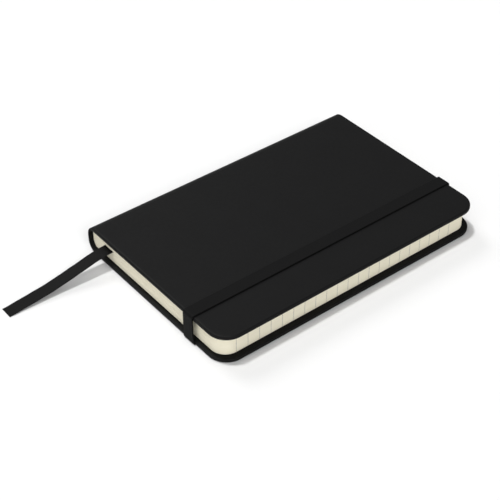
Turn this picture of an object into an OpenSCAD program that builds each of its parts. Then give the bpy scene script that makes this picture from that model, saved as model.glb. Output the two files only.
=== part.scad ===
// Pocket notebook: two hard covers and a spine wrapped in soft black cover
// material, a sewn block of ruled paper, a ribbon bookmark and an elastic closure.
// It lies on its back cover: the spine is at -X, the fore-edge at +X, the head at
// +Y and the foot at -Y. Z = 0 is the outer face of the back cover.

/* [Book] */
// Width of the closed book, from the spine's outer face to the fore-edge
book_w = 94; // [78:1:124]
// Height of the closed book, from foot to head
book_h = 140; // [110:1:190]
// Thickness of the closed book, outer face to outer face
book_t = 14; // [12:0.5:20]
// Radius of the two rounded cover corners at the fore-edge
cover_corner_r = 9; // [4:0.5:14]

/* [Covers] */
// Thickness of the cover material
skin_t = 0.3; // [0.2:0.05:0.5]
// Thickness of the cover boards
board_t = 1.4; // [1:0.1:2]
// Thickness of the cover material where it is turned in over a board's edge
turn_in_t = 0.25; // [0.15:0.05:0.4]
// Width of the turned-in border on a cover's inner face
turn_in_w = 12; // [8:1:16]
// Thickness of the pasted-down endpapers
pastedown_t = 0.15; // [0.1:0.05:0.25]
// How far a pasted-down endpaper stays in from the cover's edges
pastedown_inset = 3.2; // [2:0.2:6]
// Radius of the rounded spine, from a cover's outer face to the flat of the spine
spine_edge_r = 5.5; // [4:0.1:5.5]
// Thickness of the spine board, a thin strip in the flat of the spine
spine_board_t = 0.4; // [0.3:0.1:0.6]
// Gap between each cover and the spine, where only the cover material bends
joint_gap = 0.15; // [0.1:0.05:0.4]

/* [Pages] */
// How far the pages stay in from the covers at the head and the foot
page_inset_ends = 2; // [1:0.5:4]
// How far the pages stay in from the covers at the fore-edge
page_inset_fore = 2.9; // [1:0.1:5]
// Radius of the two rounded page corners at the fore-edge
page_corner_r = 7; // [3:0.5:12]
// Thickness of a flyleaf
flyleaf_t = 0.12; // [0.08:0.02:0.2]
// Play between neighbouring signatures
leaf_gap = 0.03; // [0.02:0.01:0.05]
// Play between a cover's inner face and the flyleaf beside it
cover_gap = 0.05; // [0.03:0.01:0.1]

/* [Binding] */
// Thickness of the cloth lining glued over the folds
lining_t = 0.2; // [0.15:0.05:0.4]
// How far the lining stays in from the ends of the pages
lining_inset = 3; // [1:1:10]
// Play between the spine board and the lining
hollow_gap = 0.8; // [0.8:0.1:1.2]
// Diameter of the sewing thread
thread_d = 0.4; // [0.3:0.05:0.6]
// Play between the thread and what it lies between
thread_gap = 0.05; // [0.03:0.01:0.1]
// Number of sewing stations along the spine
stations = 6; // [3:1:9]
// Distance from the end of the pages to the nearest sewing station
station_inset = 12; // [8:1:20]
// Length of a stitch along the spine
stitch_len = 4; // [2:1:8]

/* [Ribbon] */
// Width of the ribbon bookmark
ribbon_w = 6.2; // [4:0.2:9]
// Thickness of the ribbon bookmark
ribbon_t = 0.25; // [0.15:0.05:0.4]
// Distance from the spine's outer face to the middle of the ribbon
ribbon_from_spine = 13; // [10:0.5:22]
// Number of signatures above the ribbon
ribbon_after = 5; // [2:1:10]
// Play around the ribbon between the pages
ribbon_gap = 0.06; // [0.04:0.01:0.1]

/* [Elastic] */
// Width of the elastic band
elastic_w = 6.2; // [4:0.2:9]
// Thickness of the elastic band
elastic_t = 0.7; // [0.5:0.05:1]
// Distance from the fore-edge to the middle of the band
elastic_from_fore = 21.6; // [14:0.2:30]
// Play between the band and the book
elastic_gap = 0.05; // [0.03:0.01:0.1]
// Length of an elastic tail on the back cover's outer face
tail_run = 14; // [13:1:20]
// Length of an elastic tail glued below the pasted-down endpaper
tail_glued = 10; // [6:1:16]
// Play around an elastic tail in its recess
tail_gap = 0.05; // [0.03:0.01:0.1]

/* [Hidden] */
$fn = 64;
signatures = 12;
cut = 1;                                       // how far a cutting shape runs past a face
cover_t = skin_t + board_t + turn_in_t + pastedown_t;
spine_x = -book_w / 2;
spine_wall_t = skin_t + spine_board_t;
wall_x = spine_x + spine_wall_t;               // inner face of the spine
lining_x = wall_x + hollow_gap;
thread_x = lining_x + lining_t + thread_gap + thread_d / 2;
fold_x = thread_x + thread_d / 2 + thread_gap; // where the folds of the signatures start
page_x = book_w / 2 - page_inset_fore;
page_half = book_h / 2 - page_inset_ends;
front_inner_z = book_t - cover_t;
stack_z = front_inner_z - cover_gap - flyleaf_t - leaf_gap;
stack_floor_z = cover_t + cover_gap + flyleaf_t + leaf_gap;
signature_pitch = (stack_z - stack_floor_z) / signatures;
signature_t = signature_pitch - leaf_gap;
fold_r = signature_t / 2;
second_top_z = stack_z - signature_pitch;
lining_floor_z = book_t - second_top_z;        // the lining clears the rounded spine at both ends
last_stitch_z = stack_z - (signatures - 0.5) * signature_pitch;
ribbon_x = spine_x + ribbon_from_spine;
ribbon_top_z = stack_z - ribbon_after * signature_pitch - ribbon_gap;
elastic_x = book_w / 2 - elastic_from_fore;
elastic_reach = book_h / 2 + elastic_gap;      // inner face of the band at head and foot
tail_top_z = elastic_gap + elastic_t;
glue_z = cover_t - pastedown_t - elastic_t;    // lower face of a glued tail
// Middle line of the ribbon, from the pages down to the table, which its end touches
RIBBON_ROUTE = [
    [-34, -68, 7.6], [-34, -71, 7.4], [-34, -74, 7], [-34, -77, 6.5],
    [-33.9, -80, 5.9], [-33.9, -83, 5.2], [-33.9, -86, 4.6], [-33.8, -89, 4],
    [-33.8, -92, 3.4], [-33.8, -95, 2.8], [-33.7, -98, 2.3], [-33.7, -101, 1.9],
    [-33.7, -104, 1.6], [-33.6, -107, 1.3], [-33.6, -110, 1], [-33.6, -113, 0.7],
    [-33.5, -116, 0.4], [-33.5, -119, 0.2]];

// ---- outlines -------------------------------------------------------------

// Rectangle from x0 to x1 and from -half to half, its two corners at x1 rounded
module outline(x0, x1, half, r) {
    translate([x0, -half]) square([x1 - x0 - r, 2 * half]);
    translate([x1 - r, r - half]) square([r, 2 * (half - r)]);
    for (s = [-1, 1]) translate([x1 - r, s * (half - r)]) circle(r);
}

// A cover's outline, moved inwards by inset
module cover_outline(inset) {
    outline(spine_x + inset, book_w / 2 - inset, book_h / 2 - inset,
            max(cover_corner_r - inset, 1));
}

module page_outline(x0) {
    outline(x0, page_x, page_half, page_corner_r);
}

// ---- covers, each drawn with its outer face at z = 0 and turned over for the front

// Everything inside the rounded outer edge along the spine, moved inwards by inset
module spine_rounding(inset) {
    half = book_h / 2 + cut;
    translate([spine_x + spine_edge_r, -half, -cut])
        cube([book_w, 2 * half, cover_t + 2 * cut]);
    translate([spine_x + inset, -half, spine_edge_r])
        cube([book_w, 2 * half, cover_t + cut]);
    translate([spine_x + spine_edge_r, half, spine_edge_r]) rotate([90, 0, 0])
        cylinder(r = spine_edge_r - inset, h = 2 * half);
}

// The board before its ways for the elastic tails are cut
module board_blank() {
    intersection() {
        translate([0, 0, skin_t]) linear_extrude(board_t) cover_outline(skin_t);
        spine_rounding(skin_t);
    }
}

// One elastic tail at the head (side 1) or the foot (side -1), grown by gap
module tail_shape(side, gap, past) {
    w = elastic_w + 2 * gap;
    half = book_h / 2;
    slot_y = half - tail_run;
    mirror([0, side > 0 ? 0 : 1, 0]) translate([elastic_x - w / 2, 0, 0]) {
        translate([0, slot_y - gap, elastic_gap - past])
            cube([w, tail_run + gap + (past > 0 ? cut : elastic_gap + elastic_t),
                  elastic_t + past + gap]);
        translate([0, slot_y - gap, elastic_gap - past])
            cube([w, elastic_t + 2 * gap, cover_t - pastedown_t - elastic_gap + past]);
        translate([0, slot_y - tail_glued - gap, glue_z - gap])
            cube([w, tail_glued + elastic_t + 2 * gap, elastic_t + gap]);
    }
}

module tail_ways() {
    for (side = [-1, 1]) tail_shape(side, tail_gap, cut);
}

module cover_board(slotted) {
    difference() {
        board_blank();
        if (slotted) tail_ways();
    }
}

module cover_skin(slotted) {
    difference() {
        intersection() {
            linear_extrude(cover_t - pastedown_t) cover_outline(0);
            spine_rounding(0);
        }
        board_blank();
        translate([0, 0, skin_t + board_t - turn_in_t / 2])
            linear_extrude(cover_t) cover_outline(turn_in_w);
        if (slotted) tail_ways();
    }
}

module cover_pastedown(slotted) {
    difference() {
        union() {
            translate([0, 0, cover_t - pastedown_t])
                linear_extrude(pastedown_t) cover_outline(pastedown_inset);
            translate([0, 0, skin_t + board_t])
                linear_extrude(turn_in_t + pastedown_t / 2) cover_outline(turn_in_w);
        }
        if (slotted) tail_ways();
    }
}

// Puts a cover drawn from its outer face on top of the book
module turned_over() {
    translate([0, 0, book_t]) mirror([0, 0, 1]) children();
}

module back_skin() { color("#232323") cover_skin(true); }
module back_board() { color("#6b675f") cover_board(true); }
module back_pastedown() { color("#e4dcc0") cover_pastedown(true); }
module front_skin() { color("#232323") turned_over() cover_skin(false); }
module front_board() { color("#6b675f") turned_over() cover_board(false); }
module front_pastedown() { color("#e4dcc0") turned_over() cover_pastedown(false); }

// ---- spine ----------------------------------------------------------------

spine_floor_z = cover_t + joint_gap;
spine_wall_h = book_t - 2 * spine_floor_z;
spine_flat_h = book_t - 2 * spine_edge_r;

// Everything inside the rounded spine, moved inwards by inset
module spine_inside(inset) {
    half = book_h / 2 + cut;
    translate([spine_x + inset, -half, spine_edge_r])
        cube([spine_edge_r, 2 * half, spine_flat_h]);
    for (z = [spine_edge_r, book_t - spine_edge_r])
        translate([spine_x + spine_edge_r, half, z]) rotate([90, 0, 0])
            cylinder(r = spine_edge_r - inset, h = 2 * half);
}

// The spine board, grown past its inner face
module spine_board_block(past) {
    translate([spine_x + skin_t, skin_t - book_h / 2, spine_edge_r])
        cube([spine_board_t + past, book_h - 2 * skin_t, spine_flat_h]);
}

module spine_board() { color("#6b675f") spine_board_block(0); }

module spine_skin() {
    color("#232323") difference() {
        intersection() {
            spine_inside(0);
            translate([spine_x, -book_h / 2, spine_floor_z])
                cube([spine_edge_r, book_h, spine_wall_h]);
        }
        spine_inside(spine_wall_t);
        spine_board_block(cut);
    }
}

module spine_lining() {
    half = page_half - lining_inset;
    color("#cfc8b4") translate([lining_x, -half, lining_floor_z])
        cube([lining_t, 2 * half, second_top_z - lining_floor_z]);
}

// Link stitches: a thread up the folds at each station, with a stitch at each fold
module sewing_thread() {
    reach = page_half - station_inset;
    color("#f2efe4") for (i = [0 : stations - 1])
        translate([thread_x, -reach + 2 * reach * i / (stations - 1), 0]) {
            translate([0, 0, last_stitch_z]) cylinder(d = thread_d, h = second_top_z - last_stitch_z);
            for (k = [1 : signatures - 1])
                translate([0, stitch_len / 2, stack_z - (k + 0.5) * signature_pitch])
                    rotate([90, 0, 0]) cylinder(d = thread_d, h = stitch_len);
        }
}

// ---- pages ----------------------------------------------------------------

// Folded sheets number k from the top, round at the fold
module signature_sheets(k) {
    low = stack_z - k * signature_pitch + leaf_gap;
    translate([0, 0, low]) linear_extrude(signature_t) page_outline(fold_x + fold_r);
    translate([fold_x + fold_r, page_half, low + fold_r]) rotate([90, 0, 0])
        cylinder(r = fold_r, h = 2 * page_half);
}

// The ribbon between the pages: along them, and over to the spine at the head
module ribbon_shape(gap, past) {
    translate([ribbon_x - ribbon_w / 2 - gap, -page_half - past, ribbon_top_z - ribbon_t - gap])
        cube([ribbon_w + 2 * gap, 2 * page_half + 2 * past, ribbon_t + gap + past]);
    translate([thread_x, page_half - ribbon_w - gap, ribbon_top_z - ribbon_t - gap])
        cube([ribbon_x - thread_x, ribbon_w + gap + past, ribbon_t + gap + past]);
}

module signature(k) {
    color("#dcd3b6") difference() {
        signature_sheets(k);
        if (k == ribbon_after + 1) ribbon_shape(ribbon_gap, cut);
    }
}

module flyleaf(low) {
    color("#e4dcc0") translate([0, 0, low]) linear_extrude(flyleaf_t) page_outline(fold_x);
}

module front_flyleaf() { flyleaf(front_inner_z - cover_gap - flyleaf_t); }
module back_flyleaf() { flyleaf(cover_t + cover_gap); }
module signature_01() { signature(1); }
module signature_02() { signature(2); }
module signature_03() { signature(3); }
module signature_04() { signature(4); }
module signature_05() { signature(5); }
module signature_06() { signature(6); }
module signature_07() { signature(7); }
module signature_08() { signature(8); }
module signature_09() { signature(9); }
module signature_10() { signature(10); }
module signature_11() { signature(11); }
module signature_12() { signature(12); }

// ---- ribbon ---------------------------------------------------------------

// A flat section with eight sides: across the width and through the thickness
function ribbon_section(w, t) = [
    [-w / 2, -t / 4], [-w / 2 + t / 4, -t / 2], [w / 2 - t / 4, -t / 2], [w / 2, -t / 4],
    [w / 2, t / 4], [w / 2 - t / 4, t / 2], [-w / 2 + t / 4, t / 2], [-w / 2, t / 4]];

// Direction of the route at point i, from its neighbours
function route_way(p, i) =
    let (d = p[min(i + 1, len(p) - 1)] - p[max(i - 1, 0)]) d / norm(d);

// The section carried to point i, level across and square to the route
function ribbon_ring(p, i, section) =
    let (way = i == 0 ? [0, -1, 0] : route_way(p, i),
         side = cross(way, [0, 0, 1]) / norm(cross(way, [0, 0, 1])),
         up = cross(side, way))
    [for (q = section) p[i] + q[0] * side + q[1] * up];

module swept(route, section) {
    n = len(section);
    last = len(route) - 1;
    rings = [for (i = [0 : last]) each ribbon_ring(route, i, section)];
    sides = [for (i = [0 : last - 1], j = [0 : n - 1])
        [i * n + j, i * n + (j + 1) % n, (i + 1) * n + (j + 1) % n, (i + 1) * n + j]];
    ends = [[for (j = [n - 1 : -1 : 0]) j], [for (j = [0 : n - 1]) last * n + j]];
    polyhedron(points = rings, faces = concat(sides, ends), convexity = 4);
}

module ribbon_inside() { color("#1c1c1c") ribbon_shape(0, 0); }
module ribbon_tail() { color("#1c1c1c") swept(RIBBON_ROUTE, ribbon_section(ribbon_w, ribbon_t)); }

// ---- elastic closure ------------------------------------------------------

module elastic_tail_foot() { color("#191919") tail_shape(-1, 0, 0); }
module elastic_tail_head() { color("#191919") tail_shape(1, 0, 0); }

// The band over the front cover and down past both ends of the book
module elastic_band() {
    far = elastic_reach + elastic_t;
    top_z = book_t + elastic_gap;
    color("#191919") translate([elastic_x - elastic_w / 2, 0, 0]) {
        translate([0, -far, top_z]) cube([elastic_w, 2 * far, elastic_t]);
        for (y = [-far, elastic_reach])
            translate([0, y, tail_top_z + elastic_gap])
                cube([elastic_w, elastic_t, top_z - tail_top_z]);
    }
}

back_skin();
back_board();
back_pastedown();
elastic_tail_foot();
elastic_tail_head();
elastic_band();
front_skin();
front_board();
front_pastedown();
front_flyleaf();
signature_01();
signature_02();
signature_03();
signature_04();
signature_05();
signature_06();
signature_07();
signature_08();
signature_09();
signature_10();
signature_11();
signature_12();
back_flyleaf();
sewing_thread();
spine_lining();
spine_board();
spine_skin();
ribbon_inside();
ribbon_tail();
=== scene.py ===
"""Looks of a hard-cover pocket notebook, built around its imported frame.

The book lies on its back cover. X runs from the spine to the fore-edge, Y from the foot
to the head and Z up through the closed book. Every length here is in metres.
"""

from __future__ import annotations

import logging
import math
from dataclasses import dataclass
from enum import Enum

import bmesh
import bpy
import numpy as np
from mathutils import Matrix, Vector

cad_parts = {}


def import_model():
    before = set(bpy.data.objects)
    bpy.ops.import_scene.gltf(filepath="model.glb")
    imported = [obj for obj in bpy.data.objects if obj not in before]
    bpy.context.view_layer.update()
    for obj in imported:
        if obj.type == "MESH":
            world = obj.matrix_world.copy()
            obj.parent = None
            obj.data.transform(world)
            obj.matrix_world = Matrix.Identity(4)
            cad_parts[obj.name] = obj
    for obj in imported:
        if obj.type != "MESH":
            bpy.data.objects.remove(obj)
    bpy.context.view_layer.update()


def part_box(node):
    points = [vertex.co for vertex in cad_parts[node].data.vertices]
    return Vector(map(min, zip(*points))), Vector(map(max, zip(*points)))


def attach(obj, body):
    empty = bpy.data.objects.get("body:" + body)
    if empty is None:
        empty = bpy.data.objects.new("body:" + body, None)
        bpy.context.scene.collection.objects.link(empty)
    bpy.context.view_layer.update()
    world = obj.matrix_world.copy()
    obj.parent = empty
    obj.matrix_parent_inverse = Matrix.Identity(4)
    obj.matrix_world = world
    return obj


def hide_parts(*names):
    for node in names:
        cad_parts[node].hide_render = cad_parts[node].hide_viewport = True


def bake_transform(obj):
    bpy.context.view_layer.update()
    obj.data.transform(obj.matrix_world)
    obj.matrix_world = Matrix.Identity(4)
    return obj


LOG = logging.getLogger("pocket_notebook")
MM = 0.001
SAME_PLACE = 0.0005 * MM
RULING_PITCH = 5.82 * MM
FIRST_RULE, LAST_RULE = -61.0 * MM, 55.4 * MM
SEED = 7


class Side(Enum):
    """Which cover a piece belongs to."""

    FRONT = "front"
    BACK = "back"


class Tone(Enum):
    """Colours of the book's materials, linear red, green and blue."""

    COVER = (0.0040, 0.0040, 0.0041)
    ELASTIC = (0.0030, 0.0030, 0.0031)
    RIBBON = (0.0022, 0.0021, 0.0021)
    PAGE = (0.88, 0.835, 0.68)
    RULING = (0.27, 0.26, 0.24)
    ENDPAPER = (0.88, 0.84, 0.70)
    BOARD = (0.20, 0.185, 0.16)
    # Painted shade: the lining is near black so that it reads as the shade in the gap inside the spine.
    LINING_PAINTED_SHADE = (0.020, 0.019, 0.018)
    THREAD = (0.85, 0.82, 0.75)
    FLOOR = (0.66, 0.66, 0.66)


# ---- materials ---------------------------------------------------------------


class Graph:
    """A material's node tree, with short calls to add and link nodes."""

    def __init__(self, name: str, roughness: float, specular: float = 0.5) -> None:
        """Starts a material with one principled shader.

        Args:
            name: Name of the material.
            roughness: Roughness of the shader.
            specular: Specular level of the shader.
        """
        self.material = bpy.data.materials.new(name)
        self.material.use_nodes = True
        self.tree = self.material.node_tree
        self.shader = self.tree.nodes["Principled BSDF"]
        self.shader.inputs["Roughness"].default_value = roughness
        self.shader.inputs["Specular IOR Level"].default_value = specular

    def add(self, kind: str, settings: dict | None = None, **values: object) -> bpy.types.Node:
        """Adds a node.

        Args:
            kind: Blender's name of the node type.
            settings: Attributes to set on the node.
            **values: Input names, with _ for a space, and their numbers or the sockets to link.

        Returns:
            The new node.
        """
        node = self.tree.nodes.new(kind)
        for key, value in (settings or {}).items():
            setattr(node, key, value)
        for key, value in values.items():
            self.put(node, int(key[1:]) if key[1:].isdigit() else key.replace("_", " "), value)
        return node

    def put(self, node: bpy.types.Node, key: str | int, value: object) -> None:
        """Sets an input of a node to a number, or links a socket to it.

        Args:
            node: The node.
            key: Name or number of the input.
            value: A number, a tuple or an output socket.
        """
        if isinstance(value, bpy.types.NodeSocket):
            self.tree.links.new(value, node.inputs[key])
        else:
            node.inputs[key].default_value = value

    def place(self, stretch: tuple = (1, 1, 1), uv: bool = False) -> bpy.types.NodeSocket:
        """Gives the coordinates of a pattern.

        Args:
            stretch: Factor on each axis.
            uv: True for the piece's own UV map, false for Object coordinates.

        Returns:
            The coordinates' socket.
        """
        source = self.add("ShaderNodeTexCoord").outputs["UV" if uv else "Object"]
        return self.add("ShaderNodeMapping", Vector=source, Scale=stretch).outputs["Vector"]

    def noise(self, where: bpy.types.NodeSocket, scale: float, detail: float = 2.0) -> bpy.types.NodeSocket:
        """Adds a soft noise.

        Args:
            where: Coordinates.
            scale: Features to the metre, about.
            detail: How many finer noises lie on it.

        Returns:
            The noise's socket, about 0 to 1.
        """
        node = self.add("ShaderNodeTexNoise", Vector=where, Scale=scale, Detail=detail)
        return node.outputs["Fac"]

    def wave(self, where: bpy.types.NodeSocket, axis: str, scale: float) -> bpy.types.NodeSocket:
        """Adds soft parallel bands.

        Args:
            where: Coordinates.
            axis: The axis that the bands follow one another along.
            scale: How close together they are.

        Returns:
            The socket of the bands' height.
        """
        node = self.add("ShaderNodeTexWave", {"bands_direction": axis}, Vector=where, Scale=scale)
        return node.outputs["Fac"]

    def math(self, kind: str, a: object, b: object = 0.0) -> bpy.types.NodeSocket:
        """Adds a sum on two values.

        Args:
            kind: Blender's name of the sum.
            a: First value, a number or a socket.
            b: Second value, a number or a socket.

        Returns:
            The result's socket.
        """
        node = self.add("ShaderNodeMath", {"operation": kind}, _0=a, _1=b)
        return node.outputs["Value"]

    def fit(
        self, value: object, low: float, high: float, to_low: float, to_high: float
    ) -> bpy.types.NodeSocket:
        """Moves a value from one range to another, held to its ends.

        Args:
            value: The value, a number or a socket.
            low: Start of its range.
            high: End of its range.
            to_low: What the start becomes.
            to_high: What the end becomes.

        Returns:
            The result's socket.
        """
        ends = {"From_Min": low, "From_Max": high, "To_Min": to_low, "To_Max": to_high}
        node = self.add("ShaderNodeMapRange", Value=value, **ends)
        return node.outputs["Result"]

    def mix(self, factor: object, a: object, b: object) -> bpy.types.NodeSocket:
        """Mixes two colours and returns the result.

        Args:
            factor: Share of the second colour.
            a: First colour, three numbers or a socket.
            b: Second colour, three numbers or a socket.

        Returns:
            The mixed colour's socket.
        """
        node = self.add("ShaderNodeMix", {"data_type": "RGBA"})
        self.put(node, 0, factor)
        self.put(node, 6, (*a, 1.0) if isinstance(a, tuple) else a)
        self.put(node, 7, (*b, 1.0) if isinstance(b, tuple) else b)
        return node.outputs[2]

    def color(self, value: object) -> None:
        """Sets or links the shader's base colour."""
        self.put(self.shader, "Base Color", (*value, 1.0) if isinstance(value, tuple) else value)

    def bump(self, height: bpy.types.NodeSocket, strength: float, distance: float) -> None:
        """Gives the shader a bump.

        Args:
            height: Height of the surface, 0 to 1.
            strength: Share of the bump that shows.
            distance: How deep a height of 1 is.
        """
        node = self.add("ShaderNodeBump", Height=height, Strength=strength, Distance=distance)
        self.put(self.shader, "Normal", node.outputs["Normal"])


def scaled(color: tuple[float, float, float], factor: float) -> tuple[float, float, float]:
    """Returns a colour made lighter or darker by a factor."""
    return (color[0] * factor, color[1] * factor, color[2] * factor)


@dataclass(frozen=True)
class CoverFinish:
    """Soft black cover material: a very fine pebble grain with a dull sheen."""

    grain: float = 2600.0
    cloud: float = 90.0
    depth: float = 0.018 * MM
    strength: float = 0.55
    shades: tuple[float, float] = (0.86, 1.16)
    dullness: tuple[float, float] = (0.51, 0.61)
    specular: float = 0.1

    def material(self) -> bpy.types.Material:
        """Builds the material.

        Returns:
            The finished material.
        """
        graph = Graph("cover_material", self.dullness[1], self.specular)
        where = graph.place()
        dark, light = (scaled(Tone.COVER.value, shade) for shade in self.shades)
        graph.color(graph.mix(graph.noise(where, self.cloud, 4.0), dark, light))
        voronoi = {"feature": "SMOOTH_F1"}
        cells = graph.add("ShaderNodeTexVoronoi", voronoi, Vector=where, Scale=self.grain)
        pebbles = graph.math("MULTIPLY", cells.outputs["Distance"], 0.7)
        fine = graph.math("MULTIPLY", graph.noise(where, self.grain * 1.7, 3.0), 0.5)
        graph.bump(graph.math("ADD", pebbles, fine), self.strength, self.depth)
        patches = graph.noise(where, self.cloud * 6, 3.0)
        graph.put(graph.shader, "Roughness", graph.fit(patches, 0.3, 0.7, *self.dullness))
        return graph.material


@dataclass(frozen=True)
class PaperFinish:
    """Cream paper with fine fibres, ruled across where pitch is given."""

    name: str
    color: Tone
    pitch: float = 0.0
    first_line: float = 0.0
    last_line: float = 0.0
    line_width: float = 0.22 * MM
    roughness: float = 0.82
    specular: float = 0.3
    layers: tuple[float, float, float] = (40, 40, 9000)
    breaks: tuple[float, float, float] = (60, 60, 12000)
    fibre: float = 3500.0
    fibre_depth: float = 0.02 * MM
    face_slope: float = 0.7

    def ruling(self, graph: Graph, where: bpy.types.NodeSocket) -> bpy.types.NodeSocket:
        """Gives 1 on a ruled line and 0 between.

        It is the distance of y from the nearest line, cut at half a line's width. A line is
        whole on the face of a page, and broken on the cut edges.

        Args:
            graph: The material's graph.
            where: Object coordinates.

        Returns:
            The socket of the lines' strength.
        """
        axes = graph.add("ShaderNodeSeparateXYZ", Vector=where)
        y = graph.math("SUBTRACT", axes.outputs["Y"], self.first_line)
        away = graph.math("PINGPONG", y, self.pitch / 2)
        line = graph.fit(away, self.line_width * 0.35, self.line_width * 0.65, 1.0, 0.0)
        past = self.pitch / 4
        above = graph.math("GREATER_THAN", y, -past)
        below = graph.math("LESS_THAN", y, self.last_line - self.first_line + past)
        broken = graph.fit(graph.noise(graph.place(self.breaks), 1.0, 1.0), 0.32, 0.6, 0.15, 0.85)
        facing = graph.add("ShaderNodeTexCoord").outputs["Normal"]
        up = graph.math("ABSOLUTE", graph.add("ShaderNodeSeparateXYZ", Vector=facing).outputs["Z"])
        ink = graph.math("MAXIMUM", broken, graph.math("GREATER_THAN", up, self.face_slope))
        ruled = graph.math("MULTIPLY", above, below)
        return graph.math("MULTIPLY", graph.math("MULTIPLY", line, ink), ruled)

    def material(self) -> bpy.types.Material:
        """Builds the material.

        Returns:
            The finished material.
        """
        graph = Graph(self.name, self.roughness, self.specular)
        where = graph.place()
        tone = self.color.value
        layers = graph.fit(graph.noise(graph.place(self.layers), 1.0, 2.0), 0.3, 0.7, 0.0, 1.0)
        paper = graph.mix(layers, scaled(tone, 0.965), scaled(tone, 1.015))
        fibres = graph.noise(where, self.fibre, 4.0)
        paper = graph.mix(graph.fit(fibres, 0.4, 0.75, 0.0, 0.12), paper, scaled(tone, 0.8))
        if self.pitch:
            paper = graph.mix(self.ruling(graph, where), paper, Tone.RULING.value)
        graph.color(paper)
        graph.bump(fibres, 0.35, self.fibre_depth)
        return graph.material


@dataclass(frozen=True)
class WovenFinish:
    """A woven tape: ribs along and fine picks across, on a UV map in metres along and across, with painted
    shade in the weave's hollows and a painted highlight on its ribs.
    """

    name: str
    color: Tone
    rib: float
    pick: float
    depth: float
    roughness: float
    sheen: float
    sheen_roughness: float = 0.5
    specular: float = 0.08
    fuzz: float = 4200.0

    def material(self) -> bpy.types.Material:
        """Builds the material.

        Returns:
            The finished material.
        """
        graph = Graph(self.name, self.roughness, self.specular)
        where = graph.place(uv=True)
        axes = graph.add("ShaderNodeSeparateXYZ", Vector=where)
        along = graph.math("MULTIPLY", axes.outputs["X"], 2 * math.pi / self.pick)
        across = graph.math("MULTIPLY", axes.outputs["Y"], 2 * math.pi / self.rib)
        picks = graph.math("SINE", along)
        ribs = graph.math("SINE", across)
        weave = graph.math("MULTIPLY", picks, graph.math("MULTIPLY", ribs, 0.5))
        height = graph.math("ADD", graph.math("MULTIPLY", ribs, 0.25), weave)
        height = graph.fit(height, -0.75, 0.75, 0.0, 1.0)
        fuzz = graph.noise(graph.place(), self.fuzz, 3.0)
        tone = self.color.value
        # Painted shade and highlight: the weave's hollows are painted darker and its raised ribs lighter,
        # on top of the bump.
        weave_painted_shade = graph.mix(height, scaled(tone, 0.6), scaled(tone, 1.3))
        graph.color(graph.mix(graph.fit(fuzz, 0.55, 0.8, 0.0, 0.4), weave_painted_shade, scaled(tone, 1.7)))
        graph.bump(graph.math("ADD", height, graph.math("MULTIPLY", fuzz, 0.3)), 0.7, self.depth)
        graph.shader.inputs["Sheen Weight"].default_value = self.sheen
        graph.shader.inputs["Sheen Roughness"].default_value = self.sheen_roughness
        return graph.material


@dataclass(frozen=True)
class FibreFinish:
    """Grey board, lining cloth or sewing thread: a plain colour broken by fibres and a weave."""

    name: str
    color: Tone
    speck: float
    weave: float = 0.0
    roughness: float = 0.9
    specular: float = 0.25
    depth: float = 0.05 * MM

    def material(self) -> bpy.types.Material:
        """Builds the material.

        Returns:
            The finished material.
        """
        graph = Graph(self.name, self.roughness, self.specular)
        where = graph.place()
        specks = graph.noise(where, self.speck, 5.0)
        tone = self.color.value
        share = graph.fit(specks, 0.35, 0.7, 0.0, 1.0)
        graph.color(graph.mix(share, scaled(tone, 0.72), scaled(tone, 1.15)))
        height = specks
        if self.weave:
            warp = graph.wave(where, "Y", self.weave)
            weft = graph.wave(where, "Z", self.weave)
            height = graph.math("ADD", specks, graph.math("MAXIMUM", warp, weft))
        graph.bump(height, 0.6, self.depth)
        return graph.material


# ---- meshes ------------------------------------------------------------------


def grid_faces(rows: int, columns: int, closed: bool = False) -> np.ndarray:
    """Lists the four-sided faces between neighbouring rows of a grid of points.

    Args:
        rows: Number of rows.
        columns: Number of points in a row.
        closed: True where each row is a closed ring.

    Returns:
        An array of faces, four point numbers each, the points numbered row by row.
    """
    i, j = np.meshgrid(np.arange(rows - 1), np.arange(columns if closed else columns - 1), indexing="ij")
    k = (j + 1) % columns
    here, there = i * columns, (i + 1) * columns
    return np.stack([here + j, here + k, there + k, there + j], -1).reshape(-1, 4)


def make_piece(
    name: str,
    points: np.ndarray,
    faces: list[list[int]],
    material: bpy.types.Material,
    uv: np.ndarray | None = None,
    sharp: float = 40.0,
    merge: bool = False,
) -> bpy.types.Object:
    """Makes an object at the origin from points in metres.

    Args:
        name: Name of the object.
        points: Array of points.
        faces: Faces as lists of point numbers.
        material: Its material.
        uv: A place on the UV map for each point.
        sharp: Angle in degrees past which an edge is shown sharp.
        merge: True to join points at one place and turn the faces outwards.

    Returns:
        The new object.
    """
    mesh = bpy.data.meshes.new(name)
    mesh.from_pydata(np.asarray(points, float).tolist(), [], faces)
    if uv is not None:
        layer = mesh.uv_layers.new(name="UVMap")
        loops = np.zeros(len(mesh.loops), np.int32)
        mesh.loops.foreach_get("vertex_index", loops)
        layer.data.foreach_set("uv", np.asarray(uv, np.float32)[loops].ravel())
    if merge:
        shell = bmesh.new()
        shell.from_mesh(mesh)
        bmesh.ops.remove_doubles(shell, verts=shell.verts, dist=SAME_PLACE)
        bmesh.ops.recalc_face_normals(shell, faces=shell.faces)
        shell.to_mesh(mesh)
        shell.free()
    mesh.polygons.foreach_set("use_smooth", np.ones(len(mesh.polygons), bool))
    mesh.set_sharp_from_angle(angle=math.radians(sharp))
    mesh.materials.append(material)
    piece = bpy.data.objects.new(name, mesh)
    bpy.context.scene.collection.objects.link(piece)
    return piece


def swept(sections: np.ndarray) -> tuple[np.ndarray, list[list[int]]]:
    """Joins rings of points into a closed tube with flat ends.

    Args:
        sections: Array of rings, each ring an array of points.

    Returns:
        The points and the faces.
    """
    rings, count = sections.shape[:2]
    faces = grid_faces(rings, count, closed=True).tolist()
    faces.append(list(range(count))[::-1])
    faces.append(list(range((rings - 1) * count, rings * count)))
    return sections.reshape(-1, 3), faces


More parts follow.
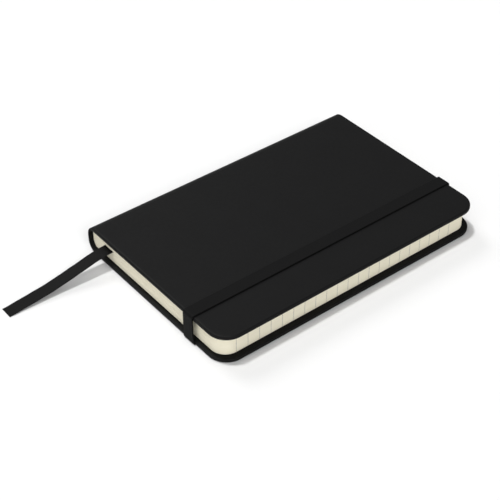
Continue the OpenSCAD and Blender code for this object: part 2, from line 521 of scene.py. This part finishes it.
def smooth_line(points: np.ndarray, step: float) -> np.ndarray:
    """Runs a smooth curve through points and gives points about step apart on it.

    Between two points it is the cubic whose slope at each is half the way between its
    neighbours (a Catmull-Rom curve).

    Args:
        points: The points to pass through.
        step: Distance between the new points.

    Returns:
        The new points.
    """
    padded = np.vstack([2 * points[0] - points[1], points, 2 * points[-1] - points[-2]])
    p0, p1, p2, p3 = (padded[k : k + len(points) - 1, None] for k in range(4))
    t = np.linspace(0, 1, 12, endpoint=False)[None, :, None]
    curve = 0.5 * (
        2 * p1 + (p2 - p0) * t + (2 * p0 - 5 * p1 + 4 * p2 - p3) * t**2 + (3 * p1 - p0 - 3 * p2 + p3) * t**3
    )
    line = np.vstack([curve.reshape(-1, points.shape[1]), points[-1:]])
    return respaced(line, step)


def respaced(line: np.ndarray, step: float) -> np.ndarray:
    """Spaces a polyline's points evenly and keeps its ends.

    Args:
        line: Points of the line.
        step: Distance between the new points, about.

    Returns:
        The new points.
    """
    along = np.concatenate([[0], np.cumsum(np.linalg.norm(np.diff(line, axis=0), axis=1))])
    at = np.linspace(0, along[-1], int(math.ceil(along[-1] / step)) + 1)
    return np.stack([np.interp(at, along, line[:, k]) for k in range(line.shape[1])], 1)


def rounded_corners(points: list[tuple[float, float]], radii: list[float]) -> np.ndarray:
    """Replaces each inner corner of a flat polyline with an arc.

    Each arc touches both of its sides: it starts radius times the tangent of half the
    turn before the corner and is seen as points turned about its centre.

    Args:
        points: Corners of the polyline.
        radii: Radius at each inner corner.

    Returns:
        Points of the rounded line.
    """
    corners = np.array(points, float)
    out = [corners[:1]]
    for before, corner, after, radius in zip(corners[:-2], corners[1:-1], corners[2:], radii):
        way_in = (corner - before) / np.linalg.norm(corner - before)
        way_out = (after - corner) / np.linalg.norm(after - corner)
        turn = math.acos(float(np.clip(way_in @ way_out, -1, 1)))
        left = math.copysign(1.0, way_in[0] * way_out[1] - way_in[1] * way_out[0])
        start = corner - way_in * radius * math.tan(turn / 2)
        normal = left * np.array([-way_in[1], way_in[0]])
        angle = np.linspace(0, turn, 9)[:, None]
        out.append(start + radius * (normal * (1 - np.cos(angle)) + way_in * np.sin(angle)))
    out.append(corners[-1:])
    return np.vstack(out)


# ---- covers ------------------------------------------------------------------


@dataclass
class CoverWrap:
    """One cover with its half of the spine, wrapped in cover material without a seam."""

    side: Side
    material: bpy.types.Material
    corner_r: float = 9 * MM
    edge_r: float = 0.75 * MM
    inner_edge_r: float = 0.45 * MM
    spine_bow: float = 0.15 * MM
    still_before: float = 1.2 * MM
    turned_after: float = 0.7 * MM
    turned_in: float = 0.8 * MM
    corner_steps: int = 14
    edge_steps: int = 6
    board_steps: int = 22
    bend_steps: int = 21
    spine_steps: int = 4

    def __post_init__(self) -> None:
        """Reads the cover's and the spine's sizes from the frame."""
        low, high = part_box(f"{self.side.value}_skin")
        strip_low, strip_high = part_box("spine_board")
        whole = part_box("front_skin")[1].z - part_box("back_skin")[0].z
        self.fore_x, self.spine_x = high.x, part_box("spine_skin")[0].x
        self.half = high.y
        self.thick = high.z - low.z
        self.wall = strip_high.x - self.spine_x
        self.bend_r = strip_low.z
        self.outer_z = high.z if self.side is Side.FRONT else low.z
        self.middle = whole / 2

    def columns(self) -> tuple[np.ndarray, np.ndarray]:
        """Places the columns across the unfolded cover.

        Returns:
            The corner angles of the first columns, and the distance from the fore-edge of the others.
        """
        angles = np.linspace(0, math.pi / 2, self.corner_steps)
        flat = self.fore_x - self.spine_x - self.bend_r
        arc = self.bend_r * math.pi / 2
        board = np.linspace(self.corner_r, flat, self.board_steps)[1:]
        bend = flat + arc * np.linspace(0, 1, self.bend_steps)[1:]
        down = flat + arc + (self.middle - self.bend_r) * np.linspace(0, 1, self.spine_steps)[1:]
        return angles, np.concatenate([board, bend, down])

    def edge_line(self, inset: float) -> tuple[np.ndarray, np.ndarray]:
        """Half of the unfolded outline, moved in by inset, from the fore-edge to the middle of the spine.

        Args:
            inset: Distance in from the cover's edge.

        Returns:
            Distance from the fore-edge, and distance from the middle line, of each column.
        """
        angles, straight = self.columns()
        r = self.corner_r - inset
        s = np.concatenate([self.corner_r - r * np.cos(angles), straight])
        sides = self.half - inset * self.thickness(straight) / self.thick
        return s, np.concatenate([self.half - self.corner_r + r * np.sin(angles), sides])

    def thickness(self, s: np.ndarray) -> np.ndarray:
        """Thickness square to the outer face at a distance from the fore-edge.

        The inner face stays flat into the bend until only the spine's thickness is left,
        and from there on it follows the outer face. The turn is held short of a quarter,
        where its cosine would be nothing.

        Args:
            s: Distance from the fore-edge along the outer face.

        Returns:
            The thickness.
        """
        flat = self.fore_x - self.spine_x - self.bend_r
        turn = np.clip((s - flat) / self.bend_r, 0, 0.45 * math.pi)
        return np.maximum(self.wall, self.bend_r - (self.bend_r - self.thick) / np.cos(turn))

    def fold(self, s: np.ndarray, y: np.ndarray, depth: np.ndarray) -> np.ndarray:
        """Folds the unfolded cover round the spine's edge.

        Before the bend a point keeps its distance from the fore-edge, in the bend it turns
        about the bend's centre, and past it it runs along the spine, bowed a little outwards.

        Args:
            s: Distance from the fore-edge along the outer face.
            y: Place along the book's height.
            depth: Depth under the outer face.

        Returns:
            The folded points.
        """
        flat = self.fore_x - self.spine_x - self.bend_r
        turn = np.clip((s - flat) / self.bend_r, 0, math.pi / 2)
        run = np.maximum(s - flat - self.bend_r * math.pi / 2, 0)
        x = np.maximum(self.fore_x - s, self.spine_x + self.bend_r) - (self.bend_r - depth) * np.sin(turn)
        x = np.where(s <= flat, self.fore_x - s, x)
        down = self.bend_r - (self.bend_r - depth) * np.cos(turn) + run
        x = x - self.spine_bow * np.sin(turn) ** 2
        sign = -1.0 if self.side is Side.FRONT else 1.0
        return np.stack([x, y, self.outer_z + sign * down], -1)

    def face_grid(self, inset: float, inner: bool, rows: np.ndarray) -> np.ndarray:
        """Points of the outer or the inner face, column by column.

        Args:
            inset: How far the face's edge lies in from the cover's edge.
            inner: True for the inner face.
            rows: Place of each row, from -1 at the foot to 1 at the head.

        Returns:
            The points, one row of the array for each column of the cover.
        """
        s, y = self.edge_line(inset)
        depth = self.thickness(s) if inner else np.zeros(len(s))
        across = y[:, None] * rows[None, :]
        s, depth = np.broadcast_to(s[:, None], across.shape), np.broadcast_to(depth[:, None], across.shape)
        return self.fold(s, across, depth)

    def rim(self, inset: float, share: float, drop: float, rows: np.ndarray) -> np.ndarray:
        """One line of points round the cover's edge, from the spine's foot to its head.

        Args:
            inset: Distance in from the edge.
            share: Share of the local thickness that the line's depth has.
            drop: Depth added to that share, less where the wrap is thinner.
            rows: Place of each row of the faces' grids.

        Returns:
            The points.
        """
        s, y = self.edge_line(inset)
        s = np.concatenate([s[::-1], np.full(len(rows) - 2, s[0]), s])
        y = np.concatenate([-y[::-1], y[0] * rows[1:-1], y])
        thick = self.thickness(s)
        return self.fold(s, y, thick * share + drop * thick / self.thick)

    def build(self) -> bpy.types.Object:
        """Builds the wrap: outer face, rolled edge, turned-in inner face and the cut at mid-spine.

        Returns:
            The finished object.
        """
        rows = np.concatenate([[-1, -0.99, -0.96], np.linspace(-0.9, 0.9, 25), [0.96, 0.99, 1]])
        angle = np.linspace(0, math.pi / 2, self.edge_steps)
        big, small = self.edge_r, self.inner_edge_r
        rims = [self.rim(big * (1 - math.sin(a)), 0.0, big * (1 - math.cos(a)), rows) for a in angle]
        rims += [self.rim(small * (1 - math.cos(a)), 1.0, -small * (1 - math.sin(a)), rows) for a in angle]
        outer = self.face_grid(self.edge_r, False, rows)
        inner = self.face_grid(self.inner_edge_r, True, rows)
        parts = [outer, inner, np.stack(rims)]
        starts = np.cumsum([0] + [part.shape[0] * part.shape[1] for part in parts])
        faces = [
            face
            for part, start in zip(parts, starts)
            for face in (grid_faces(*part.shape[:2]) + start).tolist()
        ]
        faces += self.cut_faces(outer.shape, starts, np.stack(rims).shape)
        points = np.vstack([part.reshape(-1, 3) for part in parts])
        name = f"{self.side.value}_cover_wrap"
        return make_piece(name, points, faces, self.material, merge=True, sharp=50)

    def cut_faces(self, face: tuple, starts: np.ndarray, rims: tuple) -> list[list[int]]:
        """Faces that close the wrap at the middle of the spine: one strip and two end pieces.

        Args:
            face: Shape of a face's grid.
            starts: Number of the first point of the outer face, the inner face and the rims.
            rims: Shape of the rims' grid.

        Returns:
            The faces.
        """
        columns, rows = face[:2]
        count, length = rims[:2]
        last = (columns - 1) * rows
        strip = [
            [starts[0] + k, starts[0] + k + 1, starts[1] + k + 1, starts[1] + k]
            for k in range(last, last + rows - 1)
        ]
        foot = [int(starts[2] + k * length) for k in range(count)]
        head = [int(starts[2] + k * length + length - 1) for k in range(count)]
        return [[int(n) for n in face] for face in strip] + [foot, head]

    def attach(self, piece: bpy.types.Object) -> None:
        """Bakes the wrap's placement into its points and hides the frame's skin that it stands for.

        Args:
            piece: The finished wrap.
        """
        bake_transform(piece)
        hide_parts(f"{self.side.value}_skin")


@dataclass
class JointPaper:
    """The folded strip of endpaper that lines the joint between a cover and the pages."""

    side: Side
    material: bpy.types.Material
    thick: float = 0.1 * MM
    fold_r: float = 0.055 * MM
    lap: float = 0.6 * MM
    past_leaf: float = 0.12 * MM
    pasted: float = 0.62
    free: float = 0.85
    bend_half: float = 0.02 * MM
    step: float = 0.06 * MM

    def build(self) -> bpy.types.Object:
        """Builds the strip: out from under the flyleaf, round a fold and back along the cover.

        Returns:
            The finished object.
        """
        paste_low, paste_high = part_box(f"{self.side.value}_pastedown")
        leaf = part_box(f"{self.side.value}_flyleaf")
        way = 1 if self.side is Side.FRONT else -1
        face_z = paste_low.z if way > 0 else paste_high.z
        cover_z = face_z + way * self.thick * self.pasted
        still_z = face_z - way * self.thick * self.free
        turn_x = leaf[0].x - self.past_leaf
        corners = [(leaf[0].x + self.lap, still_z), (turn_x, still_z)]
        corners += [(turn_x, cover_z), (paste_low.x, cover_z)]
        line = respaced(rounded_corners(corners, [self.fold_r, self.fold_r]), self.step)
        name = f"{self.side.value}_joint_paper"
        piece = paper_strip(name, line, self.thick, paste_low.y, paste_high.y, self.material)
        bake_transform(piece)
        return piece


def paper_strip(
    name: str, line: np.ndarray, thick: float, y_low: float, y_high: float, material: bpy.types.Material
) -> bpy.types.Object:
    """Extrudes a flat line in x and z along y, thick to both sides of the line.

    Args:
        name: Name of the object.
        line: Points of the line, x and z.
        thick: Thickness of the strip.
        y_low: Where the strip starts along y.
        y_high: Where the strip ends along y.
        material: Its material.

    Returns:
        The finished object.
    """
    way = np.gradient(line, axis=0)
    way /= np.linalg.norm(way, axis=1)[:, None]
    normal = np.stack([-way[:, 1], way[:, 0]], 1) * thick / 2
    over, under = line + normal, line - normal
    corners = [(over, y_low), (over, y_high), (under, y_high), (under, y_low)]
    rings = [np.stack([side[:, 0], np.full(len(line), y), side[:, 1]], 1) for side, y in corners]
    points, faces = swept(np.stack(rings, 1))
    return make_piece(name, points, faces, material, merge=True, sharp=30)


@dataclass
class Covers:
    """Both covers: wraps, boards, endpapers and the papers that line the joints."""

    wrap: bpy.types.Material
    endpaper: bpy.types.Material
    board: bpy.types.Material

    def build(self) -> list[bpy.types.Object]:
        """Builds and dresses both covers.

        Returns:
            The new pieces.
        """
        made = []
        for side in Side:
            wrap = CoverWrap(side, self.wrap)
            piece = wrap.build()
            wrap.attach(piece)
            made += [piece, JointPaper(side, self.endpaper).build()]
            dress(f"{side.value}_board", self.board)
            dress(f"{side.value}_pastedown", self.endpaper)
            dress(f"{side.value}_flyleaf", self.endpaper)
        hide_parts("front_skin", "spine_skin")
        # The turned-in cover material hides the spine board at head and foot.
        dress("spine_board", self.wrap)
        return made


def dress(node: str, material: bpy.types.Material) -> None:
    """Gives a carried-over node of the frame its material.

    Args:
        node: Name of the node.
        material: Its material.
    """
    mesh = bpy.data.objects[node].data
    mesh.materials.clear()
    mesh.materials.append(material)


# ---- pages -------------------------------------------------------------------


@dataclass
class PageBlock:
    """The sewn pages: twelve signatures of four folded sheets, pressed open round the ribbon."""

    paper: bpy.types.Material
    lining: bpy.types.Material
    thread: bpy.types.Material
    count: int = 12
    sheets: int = 4
    leaf_t: float = 0.078 * MM
    corner_r: float = 7 * MM
    trim: float = 0.035 * MM
    ribbon_after: int = 5
    pressed: int = 4
    ramp: float = 1.6 * MM
    ribbon_play: float = 0.02 * MM
    spine_play: float = 0.12 * MM
    round_play: float = 0.25 * MM
    across: tuple[float, float] = (25 * MM, 50 * MM)
    corner_steps: int = 12
    ramp_steps: int = 5
    fold_steps: int = 9

    def sink(self, x: np.ndarray, z: np.ndarray, head: bool) -> np.ndarray:
        """How far a leaf is pressed down by the ribbon above it.

        It is the ribbon's thickness under the ribbon, easing to nothing past its sides and
        with depth, over a few signatures.

        Args:
            x: Place across the page.
            z: Height of the leaf at rest.
            head: True at the head, where the ribbon turns to the spine.

        Returns:
            The distance to move down.
        """
        low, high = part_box("ribbon_inside")
        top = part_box(f"signature_{self.ribbon_after + 1:02d}")[1].z
        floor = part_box(f"signature_{self.ribbon_after + self.pressed:02d}")[0].z
        left = low.x if head else high.x - self.ribbon_width()
        over = np.clip((x - left + self.ramp) / self.ramp, 0, 1)
        over = over * np.clip((high.x + self.ramp - x) / self.ramp, 0, 1)
        over = over * over * (3 - 2 * over)
        deep = np.clip((z - floor) / (top - floor), 0, 1) * (z < top)
        return (top - low.z + self.ribbon_play) * over * deep

    @staticmethod
    def ribbon_width() -> float:
        """Measures the ribbon: how wide the part between the pages is at their foot.

        Returns:
            The width.
        """
        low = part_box("ribbon_inside")[0]
        mesh = bpy.data.objects["ribbon_inside"].data
        points = np.array([v.co for v in mesh.vertices])
        foot = points[points[:, 1] < low.y + MM]
        return float(foot[:, 0].max() - foot[:, 0].min())

    def stations(self, x_page: float, half: float, x_fold: float) -> tuple[np.ndarray, np.ndarray]:
        """Places along a leaf from the fore-edge to the fold, and half its height at each.

        Args:
            x_page: Where the fore-edge lies.
            half: Half of the page's height.
            x_fold: Where the fold starts.

        Returns:
            Places across the page, and half heights.
        """
        angle = np.linspace(0, math.pi / 2, self.corner_steps)
        r = self.corner_r
        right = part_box("ribbon_inside")[1].x
        left = right - self.ribbon_width()
        ease = np.linspace(-self.ramp, 0, self.ramp_steps)
        near = np.concatenate([x_page - np.array(self.across), right - ease, left + ease, [x_fold]])
        x = np.concatenate([x_page - r + r * np.cos(angle), np.sort(near)[::-1]])
        y = np.concatenate([half - r + r * np.sin(angle), np.full(len(near), half)])
        return x, y

    def back_x(self, number: int, middle: float) -> float:
        """Where a signature's fold lies: against the inside of the rounded spine.

        Between the rounded stretches that is the spine's inner face. Nearer a cover it is
        the circle of the spine's inner face at that height.

        Args:
            number: Number of the signature, from the top.
            middle: Height of its middle.

        Returns:
            The place of the fold.
        """
        spine_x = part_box("spine_skin")[0].x
        strip_low, strip_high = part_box("spine_board")
        if number == 1:
            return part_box("signature_01")[0].x
        half = (strip_low.z + strip_high.z) / 2
        depth = min(half - abs(middle - half) - self.round_play, strip_low.z)
        inner = strip_low.z - (strip_high.x - spine_x)
        reach = math.sqrt(inner**2 - (strip_low.z - depth) ** 2)
        return spine_x + strip_low.z - reach + self.spine_play

    def sheet(
        self, low: float, high: float, back: float, k: int, rng: np.random.Generator
    ) -> tuple[np.ndarray, list[list[int]]]:
        """One folded sheet: a leaf above, round the fold and a leaf below.

        Args:
            low: Lowest height of the signature.
            high: Highest height of the signature.
            back: Where the signature's fold lies.
            k: Number of the sheet, from the outermost.
            rng: Source of the small differences in trimming.

        Returns:
            Its points and faces.
        """
        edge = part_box("signature_02")[1]
        trims = rng.normal(0, self.trim / 2, (2, 2))
        middle, pitch = (low + high) / 2, (high - low) / (2 * self.sheets)
        r = (high - low) / 2 - pitch / 2 - k * pitch
        x_fold = back + (high - low) / 2
        halves = []
        for up, trim in zip((1, -1), trims):
            x, y = self.stations(edge.x + trim[0] - self.trim, edge.y + trim[1] - self.trim, x_fold)
            leaf = [x, y, np.full(len(x), middle + up * r), np.zeros(len(x)), np.full(len(x), up)]
            halves.append(np.stack(leaf, 1))
        angle = np.linspace(0, math.pi, self.fold_steps)[1:-1]
        half = np.full(len(angle), (halves[0][-1, 1] + halves[1][-1, 1]) / 2)
        out, over = -np.sin(angle), np.cos(angle)
        bend = np.stack([x_fold + r * out, half, middle + r * over, out, over], 1)
        path = np.vstack([halves[0], bend, halves[1][::-1]])
        return swept(self.slab(path))

    def slab(self, path: np.ndarray) -> np.ndarray:
        """Thickens a sheet's path: at each place a ring of four points, both faces at foot and head.

        Args:
            path: For each place x, half height, z and the outward normal's x and z.

        Returns:
            The rings.
        """
        x, half, z, nx, nz = path.T
        t = self.leaf_t / 2
        ring = []
        for face, end in ((1, -1), (1, 1), (-1, 1), (-1, -1)):
            px, pz = x + face * t * nx, z + face * t * nz
            pz = pz - self.sink(px, pz, end > 0)
            ring.append(np.stack([px, end * half, pz], 1))
        return np.stack(ring, 1)

    def signature(self, number: int, rng: np.random.Generator) -> bpy.types.Object:
        """Builds a signature's sheets as one object.

        Args:
            number: Number of the signature, from the top.
            rng: Source of the small differences in trimming.

        Returns:
            The finished object.
        """
        node = f"signature_{number:02d}"
        low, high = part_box(node)
        points, faces, start = [], [], 0
        back = self.back_x(number, (low.z + high.z) / 2)
        for k in range(self.sheets):
            sheet_points, sheet_faces = self.sheet(low.z, high.z, back, k, rng)
            points.append(sheet_points)
            faces += [[n + start for n in face] for face in sheet_faces]
            start += len(sheet_points)
        piece = make_piece(f"{node}_sheets", np.vstack(points), faces, self.paper, merge=True, sharp=30)
        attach(piece, "first_signature" if number == 1 else "text_block")
        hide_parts(node)
        return piece

    def build(self) -> list[bpy.types.Object]:
        """Builds all the signatures and dresses the binding.

        Returns:
            The new pieces.
        """
        rng = np.random.default_rng(SEED)
        dress("spine_lining", self.lining)
        dress("sewing_thread", self.thread)
        return [self.signature(number, rng) for number in range(1, self.count + 1)]


# ---- ribbon ------------------------------------------------------------------


@dataclass
class RibbonBookmark:
    """The ribbon's free end: a flat woven tape that slopes from the foot of the pages down to the table."""

    material: bpy.types.Material
    thick: float = 0.25 * MM
    selvedge: float = 0.35
    selvedge_at: float = 0.93
    selvedge_spread: float = 0.06
    blunting: float = 0.75
    step: float = 0.75 * MM
    section_steps: int = 15
    route: tuple[tuple[float, float, float], ...] = (
        (-0.034, -0.068, 0.0076),
        (-0.034, -0.071, 0.0074),
        (-0.034, -0.074, 0.007),
        (-0.034, -0.077, 0.0065),
        (-0.0339, -0.080, 0.0059),
        (-0.0339, -0.083, 0.0052),
        (-0.0339, -0.086, 0.0046),
        (-0.0338, -0.089, 0.004),
        (-0.0338, -0.092, 0.0034),
        (-0.0338, -0.095, 0.0028),
        (-0.0337, -0.098, 0.0023),
        (-0.0337, -0.101, 0.0019),
        (-0.0337, -0.104, 0.0016),
        (-0.0336, -0.107, 0.0013),
        (-0.0336, -0.110, 0.001),
        (-0.0336, -0.113, 0.0007),
        (-0.0335, -0.116, 0.0004),
        (-0.0335, -0.119, 0.0002),
    )

    def section(self, width: float) -> np.ndarray:
        """The tape's flat section: a rounded selvedge on each side of a thin middle.

        Args:
            width: Width of the tape.

        Returns:
            Points across and through the tape.
        """
        across = np.linspace(-1, 1, self.section_steps)
        swell = np.exp(-(((np.abs(across) - self.selvedge_at) / self.selvedge_spread) ** 2))
        ends = np.zeros(self.section_steps)
        ends[[0, -1]] = 1
        edge = 1 + self.selvedge * swell - self.blunting * ends
        half = self.thick / 2 * edge / (1 + self.selvedge)
        upper = np.stack([across * width / 2, half], 1)
        return np.vstack([upper, (upper * [1, -1])[::-1]])

    def build(self) -> bpy.types.Object:
        """Returns:
            The finished object.
        """
        line = smooth_line(np.array(self.route), self.step)
        width = PageBlock.ribbon_width()
        way = np.gradient(line, axis=0)
        way[0] = (0, -1, 0)
        way /= np.linalg.norm(way, axis=1)[:, None]
        side = np.cross(way, (0, 0, 1))
        side /= np.linalg.norm(side, axis=1)[:, None]
        up = np.cross(side, way)
        section = self.section(width)
        rings = line[:, None] + section[None, :, :1] * side[:, None] + section[None, :, 1:] * up[:, None]
        points, faces = swept(rings)
        along = np.concatenate([[0], np.cumsum(np.linalg.norm(np.diff(line, axis=0), axis=1))])
        uv = np.stack(np.broadcast_arrays(along[:, None], section[None, :, 0]), -1).reshape(-1, 2)
        piece = make_piece("ribbon_end", points, faces, self.material, uv=uv, sharp=60)
        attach(piece, "text_block")
        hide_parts("ribbon_tail")
        dress("ribbon_inside", self.material)
        return piece


# ---- elastic -----------------------------------------------------------------


@dataclass
class ElasticClosure:
    """The elastic band, from its glued ends through the back cover and round the closed book."""

    material: bpy.types.Material
    over_edge_r: float = 1.0 * MM
    under_edge_r: float = 0.7 * MM
    slot_r: float = 0.45 * MM
    ribs: int = 11
    rib_h: float = 0.03 * MM
    spread: float = 0.9 * MM
    spread_below: float = 6 * MM
    end_zone: float = 3 * MM
    glued: float = 10 * MM
    round_share: float = 0.1
    step: float = 0.25 * MM

    def __post_init__(self) -> None:
        """Reads the band's thickness: what it stands above the front cover, less its play there."""
        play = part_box("elastic_tail_head")[0].z
        self.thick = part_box("elastic_band")[1].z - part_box("front_skin")[1].z - play

    def path(self) -> np.ndarray:
        """The band's middle line in y and z, from the foot's slot over the front cover to the head's slot.

        Returns:
            Points along the line.
        """
        band_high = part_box("elastic_band")[1]
        tail_low, tail_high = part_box("elastic_tail_head")
        t = self.thick / 2
        out, top = band_high.y - t, band_high.z - t
        under, glued = tail_low.z + t, tail_high.z - t
        slot = tail_low.y + self.glued + t
        right = [(0.0, top), (out, top), (out, under), (slot, under), (slot, glued), (tail_low.y, glued)]
        radii = [self.over_edge_r, self.under_edge_r, self.slot_r, self.slot_r]
        half = respaced(rounded_corners(right, radii), self.step)
        return np.vstack([(half * [-1, 1])[::-1], half[1:]])

    def section(self, width: float) -> np.ndarray:
        """The band's section: ribs along both faces and rounded sides.

        Args:
            width: Width of the band.

        Returns:
            Points across and through the band, the first going from side to side over the top.
        """
        across = np.linspace(-1, 1, 6 * self.ribs + 1)
        ripple = self.rib_h * (np.cos(across * math.pi * self.ribs) - 1) / 2
        past = np.clip(np.abs(across) - 1 + self.round_share, 0, 1) / self.round_share
        side = np.sqrt(np.clip(1 - past**2, 0.02, 1))
        upper = np.stack([across * width / 2, (self.thick / 2 + ripple) * side], 1)
        return np.vstack([upper, (upper * [1, -1])[::-1]])

    def build(self) -> bpy.types.Object:
        """Carries the section along the path, a little wider where it bends under the book.

        Returns:
            The finished object.
        """
        band_low, band_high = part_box("elastic_band")
        line = self.path()
        width = band_high.x - band_low.x
        middle = (band_high.x + band_low.x) / 2
        way = np.gradient(line, axis=0)
        way /= np.linalg.norm(way, axis=1)[:, None]
        normal = np.stack([-way[:, 1], way[:, 0]], 1)
        section = self.section(width)
        at_end = np.abs(line[:, 0]) > band_high.y - self.end_zone
        low = np.clip(1 - line[:, 1] / self.spread_below, 0, 1) * at_end
        wider = self.spread * low**2 * (3 - 2 * low)
        share = (section[:, 0] / width + 0.5)[None, :]
        x = middle + section[None, :, 0] + wider[:, None] * share
        yz = line[:, None] + section[None, :, 1:] * normal[:, None]
        points, faces = swept(np.concatenate([x[..., None], yz], -1))
        along = np.concatenate([[0], np.cumsum(np.linalg.norm(np.diff(line, axis=0), axis=1))])
        uv = np.stack(np.broadcast_arrays(along[:, None], section[None, :, 0]), -1).reshape(-1, 2)
        piece = make_piece("elastic_closure", points, faces, self.material, uv=uv, sharp=60, merge=True)
        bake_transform(piece)
        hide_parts("elastic_band", "elastic_tail_foot", "elastic_tail_head")
        return piece


# ---- studio ------------------------------------------------------------------


@dataclass
class Studio:
    """Camera, pale floor and soft light."""

    azimuth: float = 51.47
    elevation: float = 39.5
    distance: float = 539.3 * MM
    lens: float = 92.1
    target: tuple[float, float, float] = (3.24 * MM, -21.7 * MM, 7.1 * MM)
    floor_half: float = 2.5
    floor_z: float = -0.02 * MM
    sky: float = 0.25
    suns: tuple[tuple[str, float, float, float, float], ...] = (
        ("high_key", 300, 76, 2.0, 6),
        ("side_light", 270, 40, 1.15, 28),
        ("front_fill", 15, 42, 1.0, 60),
        ("fore_fill", 75, 38, 1.22, 24),
    )

    def camera(self) -> None:
        """Makes the camera: it looks at the target from azimuth and elevation."""
        data = bpy.data.cameras.new("camera")
        data.lens = self.lens
        data.sensor_width = 36.0
        data.clip_start, data.clip_end = 0.01, 20.0
        camera = bpy.data.objects.new("camera", data)
        back = self.way(self.azimuth, self.elevation)
        camera.location = np.array(self.target) + back * self.distance
        camera.rotation_euler = (math.radians(90 - self.elevation), 0, math.radians(self.azimuth))
        bpy.context.scene.collection.objects.link(camera)
        bpy.context.scene.camera = camera

    @staticmethod
    def way(azimuth: float, elevation: float) -> np.ndarray:
        """Returns the direction towards an azimuth and elevation in degrees."""
        a, e = math.radians(azimuth), math.radians(elevation)
        return np.array([math.sin(a) * math.cos(e), -math.cos(a) * math.cos(e), math.sin(e)])

    def sun(self, name: str, azimuth: float, elevation: float, strength: float, spread: float) -> None:
        """Adds a soft far light.

        Args:
            name: Name of the light.
            azimuth: Where the light stands, in the camera's terms.
            elevation: Its height above the horizon in degrees.
            strength: Its strength.
            spread: How wide it looks, in degrees.
        """
        data = bpy.data.lights.new(name, "SUN")
        data.energy = strength
        data.angle = math.radians(spread)
        light = bpy.data.objects.new(name, data)
        light.rotation_euler = (math.radians(90 - elevation), 0, math.radians(azimuth))
        bpy.context.scene.collection.objects.link(light)

    def floor(self) -> None:
        """Makes the floor: a wide plane just under the book, of pale matt paint."""
        graph = Graph("floor_paint", 0.9, 0.2)
        mottle = graph.noise(graph.place(), 9.0, 2.0)
        graph.color(graph.mix(mottle, scaled(Tone.FLOOR.value, 0.995), scaled(Tone.FLOOR.value, 1.005)))
        h, z = self.floor_half, self.floor_z
        points = np.array([(-h, -h, z), (h, -h, z), (h, h, z), (-h, h, z)])
        make_piece("floor", points, [[0, 1, 2, 3]], graph.material)

    def build(self) -> None:
        """Sets up the floor, the lights and how the picture is shown."""
        self.floor()
        for sun in self.suns:
            self.sun(*sun)
        world = bpy.data.worlds.new("world")
        world.use_nodes = True
        background = world.node_tree.nodes["Background"]
        background.inputs["Color"].default_value = (1, 1, 1, 1)
        background.inputs["Strength"].default_value = self.sky
        scene = bpy.context.scene
        scene.world = world
        scene.view_settings.view_transform = "Standard"


# ---- assembly ----------------------------------------------------------------


def main() -> None:
    """Builds the whole notebook and its studio."""
    logging.basicConfig(level=logging.INFO, format="%(message)s")
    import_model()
    studio = Studio()
    studio.camera()
    ribbon = WovenFinish(
        "ribbon", Tone.RIBBON, rib=0.5 * MM, pick=0.28 * MM, depth=0.03 * MM, roughness=0.6, sheen=0.005
    )
    made = [RibbonBookmark(ribbon.material()).build()]
    endpaper = PaperFinish("endpaper", Tone.ENDPAPER).material()
    board = FibreFinish("board", Tone.BOARD, speck=1500.0).material()
    made += Covers(CoverFinish().material(), endpaper, board).build()
    page = PaperFinish("page_paper", Tone.PAGE, RULING_PITCH, FIRST_RULE, LAST_RULE).material()
    # The lining cloth carries painted shade, near black, for the shade inside the spine.
    lining = FibreFinish("lining_cloth", Tone.LINING_PAINTED_SHADE, speck=900.0, weave=500.0).material()
    thread = FibreFinish("thread", Tone.THREAD, speck=2500.0, weave=800.0).material()
    made += PageBlock(page, lining, thread).build()
    band_low, band_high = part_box("elastic_band")
    rib = (band_high.x - band_low.x) / ElasticClosure.ribs
    elastic = WovenFinish(
        "elastic", Tone.ELASTIC, rib=rib, pick=0.45 * MM, depth=0.04 * MM, roughness=0.7, sheen=0.008
    )
    made.append(ElasticClosure(elastic.material()).build())
    studio.build()
    for piece in made:
        LOG.info("%s: %d faces", piece.name, len(piece.data.polygons))


if __name__ == "__main__":
    main()
